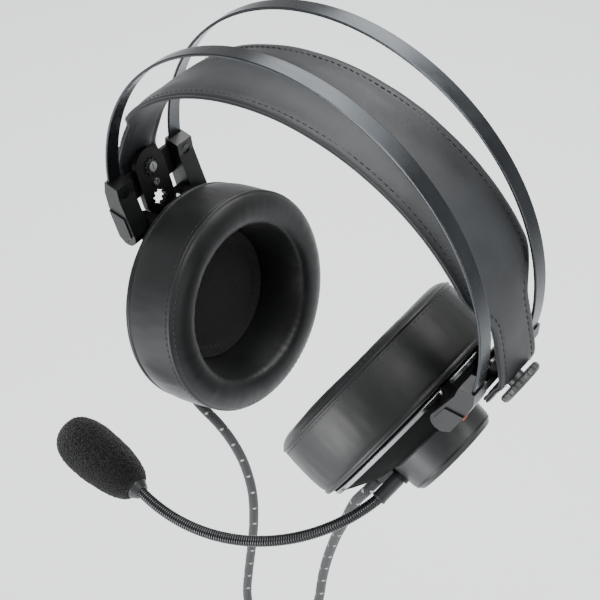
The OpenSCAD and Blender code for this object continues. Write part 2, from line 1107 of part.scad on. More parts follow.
// Two points that cut off one corner of the coil's section
function coil_corner(sx, sy) =
    let (mid = (coil_inner_turn + coil_outer_turn) / 2, hx = layer_step, cut = 1.4,
        a = [mid + sx * (hx - cut), sy * coil_half_y], b = [mid + sx * hx, sy * (coil_half_y - cut)])
    sx * sy > 0 ? [a, b] : [b, a];

module coil_tie() {
    mid = (coil_inner_turn + coil_outer_turn) / 2;
    color(dark)
        translate(coil_centre + [mid, 0, 0])
            difference() {
                cube([2 * layer_step + 3.4, 2 * coil_half_y + 3, 7], center = true);
                cube([2 * layer_step + 1, 2 * coil_half_y + 0.6, 8], center = true);
            }
}

module audio_plug() {
    color(bright)
        translate([fork[0], fork[1], tail_z])
            rotate([180, 0, 0]) {
                cylinder(r = 3.4, h = 16);
                translate([0, 0, 16 - eps])
                    cylinder(r = 2.6, h = 1.6);
                translate([0, 0, 17.6 - 2 * eps])
                    cylinder(r = jack_r, h = 12.4);
                translate([0, 0, 30 - 3 * eps])
                    cylinder(r1 = jack_r, r2 = 0.5, h = 1.8);
            }
}

/* ---- Inline remote ---- */

wheel_r = 6;
wheel_x = 4.4;
wheel_z = remote_top - 13;
slide_z = remote_top - 32;

module remote_housing() {
    color(plastic)
        translate([fork[0], fork[1], 0])
            difference() {
                union() {
                    difference() {
                        translate([0, 0, remote_top - remote_l])
                            linear_extrude(height = remote_l) {
                                square([2 * remote_half_x - 6, 2 * remote_half_y], center = true);
                                square([2 * remote_half_x, 2 * remote_half_y - 6], center = true);
                                for (sx = [-1, 1], sy = [-1, 1])
                                    translate([sx * (remote_half_x - 3), sy * (remote_half_y - 3)])
                                        circle(r = 3);
                            }
                        translate([wheel_x, 0, wheel_z])
                            rotate([90, 0, 0])
                                cylinder(r = wheel_r + 0.4, h = 3.6, center = true);
                    }
                    translate([wheel_x, 0, wheel_z])
                        rotate([90, 0, 0])
                            cylinder(r = 1, h = 4, center = true);
                }
                translate([-1.7, -remote_half_y - 1, slide_z - 5])
                    cube([3.4, 2.4, 10]);
            }
}

module volume_wheel() {
    color(dark)
        translate([fork[0] + wheel_x, fork[1], wheel_z])
            rotate([90, 0, 0])
                difference() {
                    cylinder(r = wheel_r, h = 3, center = true);
                    cylinder(r = 1 + snug, h = 4, center = true);
                    for (i = [0 : 19])
                        rotate([0, 0, 18 * i])
                            translate([wheel_r + 0.2, 0, 0])
                                cylinder(r = 0.5, h = 4, center = true);
                }
}

module mute_slider() {
    color(bright)
        translate([fork[0] - 1.5, fork[1] - remote_half_y - 0.8, slide_z - 4.8])
            cube([3, 2, 6]);
}

front_band();
rear_band();
strap_cover();
strap_foam();
strap_lining();
left_yoke();
right_yoke();
left_adjuster_plate();
right_adjuster_plate();
yoke_covers();
band_pins();
pivot_pins();
plate_screws();
side_marker();
left_knob();
left_knob_screw();
right_knob();
right_knob_screw();
left_cup_shell();
left_trim_ring();
left_drum();
left_drum_cap();
left_hinge_lug();
left_baffle();
left_baffle_screws();
left_driver();
left_diaphragm();
left_ear_cloth();
left_ear_pad();
left_cable_gland();
right_cup_shell();
right_trim_ring();
right_drum();
right_drum_cap();
right_hinge_lug();
right_baffle();
right_baffle_screws();
right_driver();
right_diaphragm();
right_ear_cloth();
right_ear_pad();
right_cable_gland();
mic_socket();
mic_plug();
gooseneck_base();
gooseneck_middle();
gooseneck_tip();
mic_housing();
mic_capsule();
mic_foam();
left_cable();
right_cable();
cable_splitter();
main_cable();
cable_coil();
coil_tie();
audio_plug();
remote_housing();
volume_wheel();
mute_slider();
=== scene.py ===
"""A gaming headset: two spring bands, hanging strap, tilting cups, gooseneck microphone, forked cable.

Metres, in the frame's own axes: +X to the wearer's left, -Y to the front, +Z up.
"""

import json
from math import ceil, cos, pi, radians, sin

import bmesh
import bpy
from mathutils import Matrix, Vector, noise


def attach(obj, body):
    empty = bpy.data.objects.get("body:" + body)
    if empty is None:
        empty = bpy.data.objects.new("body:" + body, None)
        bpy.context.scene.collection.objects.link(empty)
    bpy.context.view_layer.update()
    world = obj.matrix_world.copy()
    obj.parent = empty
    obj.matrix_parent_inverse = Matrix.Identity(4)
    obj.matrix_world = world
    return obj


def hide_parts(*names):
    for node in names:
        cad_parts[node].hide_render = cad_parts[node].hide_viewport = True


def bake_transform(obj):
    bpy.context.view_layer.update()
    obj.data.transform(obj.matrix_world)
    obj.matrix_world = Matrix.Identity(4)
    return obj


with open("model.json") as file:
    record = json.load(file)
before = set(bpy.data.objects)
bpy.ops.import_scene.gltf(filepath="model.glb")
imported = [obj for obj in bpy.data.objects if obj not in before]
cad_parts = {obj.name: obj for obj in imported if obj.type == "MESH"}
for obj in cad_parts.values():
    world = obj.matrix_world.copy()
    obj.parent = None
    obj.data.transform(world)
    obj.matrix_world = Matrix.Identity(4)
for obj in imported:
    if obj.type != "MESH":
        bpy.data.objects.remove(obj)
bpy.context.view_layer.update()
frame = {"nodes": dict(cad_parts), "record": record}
MM = 0.001


def mm(*values):
    return Vector([v * MM for v in values])


# ---- Camera ----

CAMERA_AT = Vector((0.2405, -0.3586, 0.4661))
LOOK_AT = Vector((-0.0097, 0.0065, 0.0105))
CAMERA_ROLL = radians(3.94)
LENS_MM = 84.3


def make_camera():
    """A long lens from the front, above, on the wearer's left."""
    forward = (LOOK_AT - CAMERA_AT).normalized()
    level = forward.cross(Vector((0, 0, 1))).normalized()
    upright = level.cross(forward)
    right = level * cos(CAMERA_ROLL) + upright * sin(CAMERA_ROLL)
    up = right.cross(forward)
    data = bpy.data.cameras.new("camera")
    data.sensor_width = 36
    data.lens = LENS_MM
    data.clip_start = 0.01
    camera = bpy.data.objects.new("camera", data)
    bpy.context.scene.collection.objects.link(camera)
    turn = Matrix((right, up, -forward)).transposed().to_4x4()
    camera.matrix_world = Matrix.Translation(CAMERA_AT) @ turn
    bpy.context.scene.camera = camera


make_camera()

# ---- Materials ----


class Shader:
    """A material's node tree, with short calls for the nodes used here."""

    def __init__(self, name):
        self.material = bpy.data.materials.new(name)
        self.material.use_nodes = True
        self.tree = self.material.node_tree
        self.bsdf = self.tree.nodes["Principled BSDF"]

    def node(self, kind, **settings):
        made = self.tree.nodes.new(kind)
        for key, value in settings.items():
            setattr(made, key, value)
        return made

    def feed(self, socket, value):
        if isinstance(value, bpy.types.NodeSocket):
            self.tree.links.new(value, socket)
        elif value is not None:
            socket.default_value = value

    def coords(self, stretch=(1, 1, 1), source="Object"):
        place = self.node("ShaderNodeTexCoord")
        mapping = self.node("ShaderNodeMapping")
        self.feed(mapping.inputs["Vector"], place.outputs[source])
        mapping.inputs["Scale"].default_value = stretch
        return mapping.outputs["Vector"]

    def noise(self, scale, detail=3.0, vector=None):
        made = self.node("ShaderNodeTexNoise")
        self.feed(made.inputs["Vector"], vector or self.coords())
        made.inputs["Scale"].default_value = scale
        made.inputs["Detail"].default_value = detail
        return made.outputs["Fac"]

    def cells(self, scale, feature="F1"):
        made = self.node("ShaderNodeTexVoronoi", feature=feature)
        self.feed(made.inputs["Vector"], self.coords())
        made.inputs["Scale"].default_value = scale
        return made.outputs["Distance"]

    def ramp(self, value, low, high, from_low=0.3, from_high=0.7):
        made = self.node("ShaderNodeMapRange")
        self.feed(made.inputs["Value"], value)
        made.inputs["From Min"].default_value = from_low
        made.inputs["From Max"].default_value = from_high
        made.inputs["To Min"].default_value = low
        made.inputs["To Max"].default_value = high
        return made.outputs["Result"]

    def math(self, kind, a, b=None):
        made = self.node("ShaderNodeMath", operation=kind)
        self.feed(made.inputs[0], a)
        self.feed(made.inputs[1], b)
        return made.outputs[0]

    def mix(self, factor, a, b):
        made = self.node("ShaderNodeMix", data_type="RGBA")
        self.feed(made.inputs["Factor"], factor)
        self.feed(made.inputs["A"], a)
        self.feed(made.inputs["B"], b)
        return made.outputs["Result"]

    def bump(self, height, distance, strength=1.0, normal=None):
        made = self.node("ShaderNodeBump")
        made.inputs["Strength"].default_value = strength
        made.inputs["Distance"].default_value = distance
        self.feed(made.inputs["Height"], height)
        self.feed(made.inputs["Normal"], normal)
        return made.outputs["Normal"]

    def rounded(self, radius):
        made = self.node("ShaderNodeBevel", samples=4)
        made.inputs["Radius"].default_value = radius
        return made.outputs["Normal"]

    def finish(self, colour, rough, metal=0.0, normal=None, specular=0.5, sheen=0.0):
        self.feed(self.bsdf.inputs["Base Color"], colour)
        self.feed(self.bsdf.inputs["Roughness"], rough)
        self.bsdf.inputs["Metallic"].default_value = metal
        self.bsdf.inputs["Specular IOR Level"].default_value = specular
        self.bsdf.inputs["Sheen Weight"].default_value = sheen
        self.feed(self.bsdf.inputs["Normal"], normal)
        return self.material


def grey(value, warm=-0.02):
    """A near-neutral colour; a negative warm leans it to blue."""
    return (value * (1 + warm), value, value * (1 - warm), 1)


MOULDED_EDGE = 0.0003     # radius that the shading gives to the edges of plastic
CUT_EDGE = 0.0002         # the same for metal


def plastic(name, shade, rough, grain=0.00004, warm=-0.05, specular=0.5):
    """Moulded plastic: faintly uneven in shade, with a fine grain."""
    s = Shader(name)
    spots = s.noise(90, 4)
    colour = s.mix(s.ramp(spots, 0, 1), grey(shade * 0.8, warm), grey(shade * 1.2, warm))
    texture = s.math("ADD", s.noise(2600, 2), s.math("MULTIPLY", s.noise(500, 2), 0.4))
    normal = s.bump(texture, grain, 0.6, s.rounded(MOULDED_EDGE))
    return s.finish(colour, s.ramp(spots, rough - 0.05, rough + 0.08), normal=normal, specular=specular)


def brushed(name, shade, rough, metal=1.0, along=(30, 900, 900), warm=-0.02, depth=0.00001):
    """Metal with streaks; along gives how fine they are in each direction."""
    s = Shader(name)
    streaks = s.noise(1, 4, s.coords(along))
    clouds = s.noise(45, 3)
    colour = s.mix(s.ramp(clouds, 0, 1), grey(shade * 0.88, warm), grey(shade * 1.12, warm))
    uneven = s.math("ADD", s.ramp(streaks, -0.03, 0.03), s.ramp(clouds, rough - 0.02, rough + 0.03))
    return s.finish(colour, uneven, metal, s.bump(streaks, depth, 0.5, s.rounded(CUT_EDGE)))


def leather(name, shade, rough, warm, grain, scale):
    """Coated leather: small creases and pores, scale of them to the metre."""
    s = Shader(name)
    creases = s.cells(scale, feature="DISTANCE_TO_EDGE")
    pores = s.noise(scale * 3, 2)
    clouds = s.noise(35, 4)
    colour = s.mix(s.ramp(clouds, 0, 1), grey(shade * 0.75, warm), grey(shade * 1.3, warm))
    height = s.math("ADD", s.ramp(creases, 0, 1, 0, 0.2), s.math("MULTIPLY", pores, 0.35))
    uneven = s.ramp(clouds, rough - 0.06, rough + 0.08)
    return s.finish(colour, uneven, normal=s.bump(height, grain, 0.5), specular=0.4, sheen=0.03)


def open_foam(name, shade):
    """Foam with open pits, darkened by painted shade where the surface sinks."""
    s = Shader(name)
    pits = s.cells(1500)
    # painted shade: the colour goes dark where the foam's surface sinks and light on the raised cells
    colour = s.mix(s.ramp(pits, 0, 1, 0.1, 0.6), grey(shade * 1.7, -0.04), grey(shade * 0.35))
    height = s.math("ADD", s.ramp(pits, 1, 0, 0.1, 0.6), s.math("MULTIPLY", s.noise(800, 3), 0.6))
    return s.finish(colour, 0.95, normal=s.bump(height, 0.0006, 0.8), specular=0.15, sheen=0.12)


def woven(name, shade, scale=1500):
    """Close cloth."""
    s = Shader(name)
    wave = s.node("ShaderNodeTexWave", wave_type="BANDS", bands_direction="DIAGONAL")
    s.feed(wave.inputs["Vector"], s.coords())
    wave.inputs["Scale"].default_value = scale / 4
    wave.inputs["Distortion"].default_value = 2
    cells = s.cells(scale)
    colour = s.mix(cells, grey(shade * 1.5), grey(shade * 0.4))
    height = s.math("ADD", cells, wave.outputs["Fac"])
    return s.finish(colour, 0.9, normal=s.bump(height, 0.0002, 0.6), sheen=0.1)


BRAID_PITCH = 0.013       # one repeat of the cable's pattern
MAP_PITCHES = 2           # repeats in one unit of a cord's map
PLAITS_ALONG, PLAITS_AROUND = 18, 12


def braid(name):
    """Crossed plaits along the map's first direction, with pale diamonds where tracer threads cross."""
    s = Shader(name)
    uv = s.coords(source="UV")
    split = s.node("ShaderNodeSeparateXYZ")
    s.feed(split.inputs[0], uv)
    along, around = split.outputs[0], split.outputs[1]

    def ridge(value, times, shift):
        """0 in the middle of each repeat of the value, 0.5 at its ends."""
        turned = s.math("ADD", s.math("MULTIPLY", value, times), shift)
        return s.math("ABSOLUTE", s.math("SUBTRACT", s.math("FRACT", turned), 0.5))

    def plait(way):
        return ridge(along, PLAITS_ALONG, s.math("MULTIPLY", around, way * PLAITS_AROUND))

    def diamond(shift, turn):
        """A pale diamond once in each pitch, on two opposite sides of the cord."""
        reach = s.math("ADD", s.math("MULTIPLY", ridge(along, MAP_PITCHES, shift), 15),
                       s.math("MULTIPLY", ridge(around, 2, turn), 6))
        return s.ramp(reach, 1, 0, 0.85, 1.15)

    weave = s.math("MAXIMUM", plait(1), plait(-1))
    pale = s.math("MAXIMUM", diamond(0, 0.25), diamond(-0.2, 0.75))
    # painted shade: where the weave sinks between the plaits, the tracer diamonds dim and the plaits go
    # near-black
    pale = s.math("MULTIPLY", pale, s.ramp(weave, 0.6, 1, 0.2, 0.5))
    base = s.mix(s.ramp(weave, 0, 1, 0.25, 0.5), grey(0.004, -0.1), grey(0.036, -0.1))
    colour = s.mix(pale, base, grey(0.5, -0.04))
    height = s.math("ADD", weave, s.math("MULTIPLY", s.noise(3000, 2), 0.3))
    rough = s.ramp(weave, 0.75, 0.5, 0.2, 0.5)
    return s.finish(colour, rough, normal=s.bump(height, 0.0003, 0.7), sheen=0.08)


def coiled_steel(name):
    """Close turns of black wire. The map's first direction counts them; painted shade darkens the
    groove between.
    """
    s = Shader(name)
    split = s.node("ShaderNodeSeparateXYZ")
    s.feed(split.inputs[0], s.coords(source="UV"))
    groove = s.math("ABSOLUTE", s.math("SUBTRACT", s.math("FRACT", split.outputs[0]), 0.5))
    clouds = s.noise(60, 3)
    wire = s.mix(s.ramp(clouds, 0, 1), grey(0.05, -0.04), grey(0.08, -0.04))
    # painted shade: the colour goes near-black in the groove between turns
    colour = s.mix(s.ramp(groove, 0, 1, 0.2, 0.36), wire, grey(0.002, -0.03))
    return s.finish(colour, s.ramp(groove, 0.22, 0.6, 0.2, 0.4), 0.9)


def marker_paint(name):
    """Orange paint, faintly uneven."""
    s = Shader(name)
    spots = s.noise(200, 3)
    colour = s.mix(s.ramp(spots, 0, 1), (0.5, 0.07, 0.02, 1), (0.68, 0.13, 0.04, 1))
    return s.finish(colour, s.ramp(spots, 0.32, 0.42), specular=0.3)


def floor_white(name):
    s = Shader(name)
    clouds = s.noise(2.5, 2)
    return s.finish(s.mix(s.ramp(clouds, 0, 1), grey(0.88), grey(0.9)), 0.8, specular=0.1)


BAND = brushed("band_steel", 0.062, 0.27, 1.0, (6, 300, 300), -0.08, depth=0.000001)
BODY = plastic("body_plastic", 0.02, 0.36, specular=0.5)
SATIN = plastic("satin_plastic", 0.007, 0.36, specular=0.35)
PLATE = plastic("plate_black", 0.004, 0.42, specular=0.3)
# painted shade: a far darker copy of the body plastic, standing in for the shade on the cup shells and
# hinge lugs
SHADED_SHELL = plastic("shell_plastic_shaded", 0.003, 0.8, specular=0.08)
BLOCK = plastic("block_plastic", 0.006, 0.34, specular=0.4)
BRIGHT = brushed("bright_metal", 0.42, 0.24)
GOLD = brushed("gold", 0.6, 0.18, warm=0.35)
STRAP = leather("strap_leather", 0.017, 0.46, -0.12, 0.00005, 1000)
PAD = leather("pad_leather", 0.0045, 0.42, -0.1, 0.00002, 1500)
LINING = woven("dark_foam", 0.008)
WINDSCREEN = open_foam("windscreen", 0.006)
MESH = woven("ear_mesh", 0.006, 1300)
CONE = plastic("cone_film", 0.2, 0.3, warm=0.1)
RUBBER = plastic("gland_rubber", 0.018, 0.6, 0.00006)
BRAID = braid("braid")
FLEX = coiled_steel("flex_steel")
MARKER = marker_paint("marker")
THREAD = plastic("thread", 0.03, 0.5, 0.00003)

SLOTS = {
    "spring_steel": BAND, "strap_leather": STRAP, "dark_foam": LINING, "black_plastic": BODY,
    "satin_black": SATIN, "bright_metal": BRIGHT, "gold_contact": GOLD, "pad_leather": PAD,
    "ear_mesh": MESH, "cone_film": CONE, "gland_rubber": RUBBER, "braid": BRAID,
    "flex_steel": FLEX, "marker_orange": MARKER,
}


def paint_nodes():
    """Gives each CAD piece its slot's material, the hinge blocks darker plastics, and the shells and
    hinge lugs a much darker plastic that is painted shade.
    """
    for part in frame["record"]["subparts"]:
        node = frame["nodes"][part["node"]]
        node.data.materials.clear()
        node.data.materials.append(SLOTS[part["material_slot"]])
    for side in ("left", "right"):
        for piece, material in (("adjuster_plate", PLATE), ("cup_shell", SHADED_SHELL), ("hinge_lug", SHADED_SHELL),
                                ("yoke", BLOCK)):
            frame["nodes"][f"{side}_{piece}"].data.materials[0] = material
    frame["nodes"]["yoke_covers"].data.materials[0] = BLOCK


paint_nodes()

# ---- Building help ----


def add_mesh(name, points, faces, material, uv=None):
    """A smooth-shaded object from points and faces."""
    mesh = bpy.data.meshes.new(name)
    mesh.from_pydata([tuple(p) for p in points], [], faces)
    mesh.validate()
    if uv:
        layer = mesh.uv_layers.new(name="along")
        for loop in mesh.loops:
            layer.data[loop.index].uv = uv[loop.index]
    mesh.materials.append(material)
    mesh.polygons.foreach_set("use_smooth", [True] * len(mesh.polygons))
    made = bpy.data.objects.new(name, mesh)
    bpy.context.scene.collection.objects.link(made)
    return made


def outward(made):
    """Turns the faces so that they all look out."""
    work = bmesh.new()
    work.from_mesh(made.data)
    bmesh.ops.recalc_face_normals(work, faces=work.faces)
    work.to_mesh(made.data)
    work.free()
    return made


def smooth_path(points, per_span):
    """A curve through the points: each span is eased by its neighbours."""
    result = []
    last = len(points) - 1
    for i in range(last):
        a, b, c, d = (points[max(i - 1, 0)], points[i], points[i + 1], points[min(i + 2, last)])
        for k in range(per_span):
            t = k / per_span
            result.append(0.5 * (2 * b + (c - a) * t + (2 * a - 5 * b + 4 * c - d) * t * t
                                 + (3 * b - a - 3 * c + d) * t ** 3))
    result.append(points[last])
    return result


def path_length(points):
    return sum((b - a).length for a, b in zip(points, points[1:]))


def even_path(points, step):
    """The same line with its points a near-constant step apart."""
    count = max(2, ceil(path_length(points) / step))
    gap = path_length(points) / count
    result = [points[0]]
    travelled = 0.0
    for a, b in zip(points, points[1:]):
        piece = (b - a).length
        while len(result) < count and travelled + piece >= gap * len(result):
            result.append(a.lerp(b, (gap * len(result) - travelled) / piece))
        travelled += piece
    result.append(points[-1])
    return result


def frames_along(points):
    """(direction, side, other side) at each point, carried along without twist."""
    ways = [(points[min(i + 1, len(points) - 1)] - points[max(i - 1, 0)]).normalized()
            for i in range(len(points))]
    side = ways[0].cross(Vector((0, 1, 0.2))).normalized()
    result = []
    for i, way in enumerate(ways):
        if i:
            side = ways[i - 1].rotation_difference(way) @ side
            side = (side - way * side.dot(way)).normalized()
        result.append((way, side, way.cross(side)))
    return result


def tube(name, points, radius, material, sides=20, map_step=None):
    """A tube along the points. radius is a number or one for each point. Its map runs along and around.

    map_step is what the map grows by at each point, where it doesn't follow the length.
    """
    radii = radius if isinstance(radius, list) else [radius] * len(points)
    verts, faces, uv = [], [], []
    travelled = [0.0]
    for a, b in zip(points, points[1:]):
        travelled.append(travelled[-1] + (b - a).length)
    for p, r, (_, side, other) in zip(points, radii, frames_along(points)):
        for k in range(sides):
            angle = 2 * pi * k / sides
            verts.append(p + r * (cos(angle) * side + sin(angle) * other))
    for i in range(len(points) - 1):
        u0, u1 = travelled[i] / BRAID_PITCH / MAP_PITCHES, travelled[i + 1] / BRAID_PITCH / MAP_PITCHES
        if map_step:
            u0, u1 = i * map_step, (i + 1) * map_step
        for k in range(sides):
            n = (k + 1) % sides
            faces.append([i * sides + k, (i + 1) * sides + k, (i + 1) * sides + n, i * sides + n])
            v0, v1 = k / sides, (k + 1) / sides
            uv += [(u0, v0), (u1, v0), (u1, v1), (u0, v1)]
    faces.append(list(range(sides - 1, -1, -1)))
    faces.append([(len(points) - 1) * sides + k for k in range(sides)])
    uv += [(0, 0)] * (2 * sides)
    return outward(add_mesh(name, verts, faces, material, uv=uv))


# Each cup's own frame: x outward along the cup's axis, z up, as in the CAD
CUP_PIVOT = mm(37.5, 0, 44)
PIVOT = mm(84.5, 0, 27)
CUP_TILT = {"left": radians(23), "right": radians(20)}


def cup_place(side):
    """Where a cup's own frame stands in the headset."""
    tilt = Matrix.Rotation(CUP_TILT[side], 4, "Y")
    turn = Matrix.Translation(PIVOT) @ tilt @ Matrix.Translation(-CUP_PIVOT)
    if side == "right":
        turn = Matrix.Scale(-1, 4, Vector((1, 0, 0))) @ turn
    return turn


def from_cup(side, depth, angle, reach):
    """(end, direction) of a fitting that leaves the cup at an angle below the front."""
    way = Vector((0, -cos(angle), -sin(angle)))
    place = cup_place(side)
    return place @ (Vector((depth, 0, 0)) + way * reach), place.to_3x3() @ way


# ---- Cables ----

CABLE_D = 0.005
FORK = mm(-9, -8, -270)
FORK_HALF_X = 0.0033
GLAND_DEPTH, GLAND_ANGLE, GLAND_REACH = 0.0389, radians(61), 0.035
# Points each cable hangs through, in millimetres, from its gland down to the fork
ROUTES = {
    "left": [(48.5, -22, -62), (43.5, -20.5, -82), (38, -18.3, -104), (34, -16.8, -126),
             (31.5, -15.9, -148), (30.3, -15.4, -172), (26.5, -14, -198), (17.5, -11.5, -222),
             (7, -9.3, -241), (-2, -8.2, -255)],
    "right": [(-47.5, -21, -64), (-37.5, -16, -79), (-31, -11.5, -95), (-26, -8.5, -112),
              (-22, -7, -133), (-20.5, -7, -157), (-21.3, -7, -182), (-22.6, -7, -207),
              (-22.8, -7.2, -229), (-18.8, -7.7, -247)],
}
FORK_SIDE = {"left": 1, "right": -1}


def side_cable(side):
    """The cable from one cup's gland to the splitter; its top starts at the gland in the cup's tilted
    place.
    """
    start, way = from_cup(side, GLAND_DEPTH, GLAND_ANGLE, GLAND_REACH)
    end = FORK + Vector((FORK_SIDE[side] * FORK_HALF_X, 0, 0))
    route = [start + way * (0.5 * MM), start + way * (5 * MM), start + way * (9.5 * MM)]
    route += [mm(*p) for p in ROUTES[side]] + [end + mm(0, 0, 6), end]
    line = even_path(smooth_path(route, 12), 0.0024)
    made = tube(f"{side}_cable_braid", line, CABLE_D / 2, BRAID, 20)
    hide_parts(f"{side}_cable")
    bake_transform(made)


for cup_side in ("left", "right"):
    side_cable(cup_side)

SPLITTER_L = 0.024
REMOTE_TOP = FORK.z - SPLITTER_L - 0.004
REMOTE_L = 0.046
LAYER_STEP = CABLE_D + 0.0002
OUTER_TURN = 0.0317
INNER_TURN = OUTER_TURN - LAYER_STEP
COIL = Vector((FORK.x + OUTER_TURN, FORK.y + 1.5 * LAYER_STEP, REMOTE_TOP - REMOTE_L - 0.038))
LAYER_TURNS = 4
TAIL_Z = COIL.z - 0.042


def step(t):
    """0 to 1 with a soft start and end."""
    t = min(max(t, 0), 1)
    return t * t * (3 - 2 * t)


def coil_line():
    """Two layers of four turns: the outer one runs back, the inner one runs forward again."""
    points = []
    per_turn = 24
    total = 2 * LAYER_TURNS * per_turn
    for i in range(total + 1):
        turn = i / per_turn
        angle = pi + 2 * pi * turn
        layer = step((turn - LAYER_TURNS + 0.4) / 0.8)
        radius = OUTER_TURN + (INNER_TURN - OUTER_TURN) * layer
        # a turn moves back one row near its end, and forward again in the second layer
        row = min(turn, LAYER_TURNS - 1)
        whole, part = int(row), row - int(row)
        row = whole + step((part - 0.6) / 0.4)
        if turn > LAYER_TURNS:
            back = turn - LAYER_TURNS
            whole, part = int(back), back - int(back)
            row = LAYER_TURNS - 1 - (whole + step((part - 0.6) / 0.4))
        y = FORK.y + row * LAYER_STEP
        points.append(Vector((COIL.x + radius * cos(angle), y, COIL.z + radius * sin(angle))))
    return points


def main_lead():
    """The single cable: splitter, remote, tied coil, plug."""
    winding = coil_line()
    over = winding[-1].y
    down = [Vector((FORK.x, FORK.y, FORK.z - SPLITTER_L)), Vector((FORK.x, FORK.y, REMOTE_TOP)),
            Vector((FORK.x, FORK.y, REMOTE_TOP - REMOTE_L / 2)),
            Vector((FORK.x, FORK.y, REMOTE_TOP - REMOTE_L)),
            Vector((FORK.x, FORK.y, COIL.z + 0.025)), Vector((FORK.x, FORK.y, COIL.z + 0.012))]
    tail = [Vector((COIL.x - INNER_TURN - 0.001, over, COIL.z - 0.008)),
            Vector((COIL.x - INNER_TURN - 0.0035, over + 0.0012, COIL.z - 0.017)),
            Vector((FORK.x, FORK.y - 0.0008, COIL.z - 0.028)),
            Vector((FORK.x, FORK.y, COIL.z - 0.036)), Vector((FORK.x, FORK.y, TAIL_Z))]
    points = down + winding + tail
    line = even_path(smooth_path(points, 6), 0.0022)
    made = tube("main_lead", line, CABLE_D / 2, BRAID, 14)
    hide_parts("main_cable", "cable_coil")
    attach(made, "headband")


main_lead()

# ---- Spring bands ----

BAND_RISE, BAND_HALF_X, BAND_Z = 0.0955, 0.096, 0.061
BAND_HALF_T, BAND_HALF_W, BAND_Y = 0.0006, 0.00375, 0.0205
BAND_END_ANGLE = 12       # how far below its middle the arch runs, in degrees
EDGE = 0.0002             # width of the bevel along the band's edges


def make_band(name, y):
    """A flat strip bent to an arch, with its long edges bevelled."""
    flats = [-BAND_HALF_W + EDGE, -BAND_HALF_W + 2 * EDGE, BAND_HALF_W - 2 * EDGE, BAND_HALF_W - EDGE]
    wall = BAND_HALF_T - EDGE
    outline = [(across, BAND_HALF_T) for across in flats] + [(BAND_HALF_W, wall), (BAND_HALF_W, -wall)]
    outline += [(-across, -out) for across, out in outline]
    verts, faces = [], []
    first, last = -BAND_END_ANGLE, 180 + BAND_END_ANGLE
    for angle in range(first, last + 1):
        a = radians(angle)
        for across, out in outline:
            x, z = (BAND_HALF_X + out) * cos(a), BAND_Z + (BAND_RISE + out) * sin(a)
            verts.append(Vector((x, y + across, z)))
    count = len(outline)
    for i in range(last - first):
        for k in range(count):
            n = (k + 1) % count
            faces.append((i * count + k, i * count + n, (i + 1) * count + n, (i + 1) * count + k))
    faces.append(tuple(range(count)))
    faces.append(tuple((last - first) * count + k for k in reversed(range(count))))
    made = outward(add_mesh(f"{name}_strip", verts, faces, BAND))
    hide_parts(name)
    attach(made, "headband")


make_band("front_band", -BAND_Y)
make_band("rear_band", BAND_Y)

# ---- Head strap ----

HOLE = mm(93.5, 0, 47.8)
SLANT = radians(20)
STRAP_A, STRAP_B, STRAP_Z = 0.1, 0.089, 0.045
TAB_OFFSET, TAB_END, TAB_STRAIGHT = 0.006, 0.0115, 0.006
STRAP_T = 0.0027
STRAP_HALF_Y, TAB_HALF_Y = 0.0225, 0.0125
SEAM_IN = 0.0032          # from the strap's edge to its stitches


def block_point(x, z):
    """A point given in the hinge block's own slanted axes, from the strap's hole."""
    return HOLE + Vector((x * cos(SLANT) + z * sin(SLANT), 0, z * cos(SLANT) - x * sin(SLANT)))


def mirrored(points):
    return [Vector((-p.x, p.y, p.z)) for p in reversed(points)]


def strap_middle():
    """The strap's centre line from one hinge block over the head to the other."""
    tab = [block_point(TAB_OFFSET, z) for z in (-TAB_END, -TAB_END / 2, 0, TAB_STRAIGHT)]
    arch = [Vector((STRAP_A * cos(radians(t)), 0, STRAP_Z + STRAP_B * sin(radians(t))))
            for t in range(14, 91, 4)]
    half = tab + arch
    return even_path(smooth_path(half + mirrored(half)[1:], 6), 0.0015)


def between(value, table):
    """Reads a list of (place, value) pairs, eased from each to the next."""
    if value <= table[0][0]:
        return table[0][1]
    for (a, fa), (b, fb) in zip(table, table[1:]):
        if value <= b:
            return fa + (fb - fa) * step((value - a) / (b - a))
    return table[-1][1]


STRAP_WIDTHS = [(0.0315, TAB_HALF_Y - 0.005), (0.0385, TAB_HALF_Y), (0.076, TAB_HALF_Y),
                (0.096, STRAP_HALF_Y)]


def strap_section(half, bulge):
    """Outline across the strap as (y, height): two sewn layers with lips and a padded middle."""
    t = STRAP_T / 2
    top = []
    for k in range(25):
        y = -1 + 2 * k / 24
        inset = (1 - abs(y)) * half
        dip = 0.00035 * max(0, 1 - abs(inset - SEAM_IN) / 0.0012)
        pad = bulge * step((inset - SEAM_IN) / 0.008)
        lip = 0.0004 * max(0, 1 - inset / 0.0007) ** 2
        top.append((y * half, t + pad - dip - lip))
    edge = [(half + 0.0002, t * 0.55), (half - 0.0001, t * 0.2), (half - 0.0006, 0),
            (half - 0.0001, -t * 0.2), (half + 0.0002, -t * 0.55)]
    low = [(y, -h * 0.97) for y, h in reversed(top)]
    return top + edge + low + [(-y, h) for y, h in reversed(edge)]


def stitches(name, places, length, thick, material, body):
    """Short threads, one at each (point, along, out)."""
    verts, faces = [], []
    for point, along, out in places:
        side = along.cross(out).normalized()
        first = len(verts)
        for end in (-1, 1):
            ring_at = point + along * (end * length * 0.3)
            for a, b in ((1, 0), (0, 1), (-1, 0), (0, -0.4)):
                verts.append(ring_at + (side * a + out * b) * thick)
        sunk = point - out * thick * 0.5
        verts += [sunk - along * length / 2, sunk + along * length / 2]
        for k in range(4):
            n = (k + 1) % 4
            faces.append((first + k, first + n, first + 4 + n, first + 4 + k))
            faces.append((first + 8, first + n, first + k))
            faces.append((first + 9, first + 4 + k, first + 4 + n))
    made = outward(add_mesh(name, verts, faces, material))
    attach(made, body)
    return made


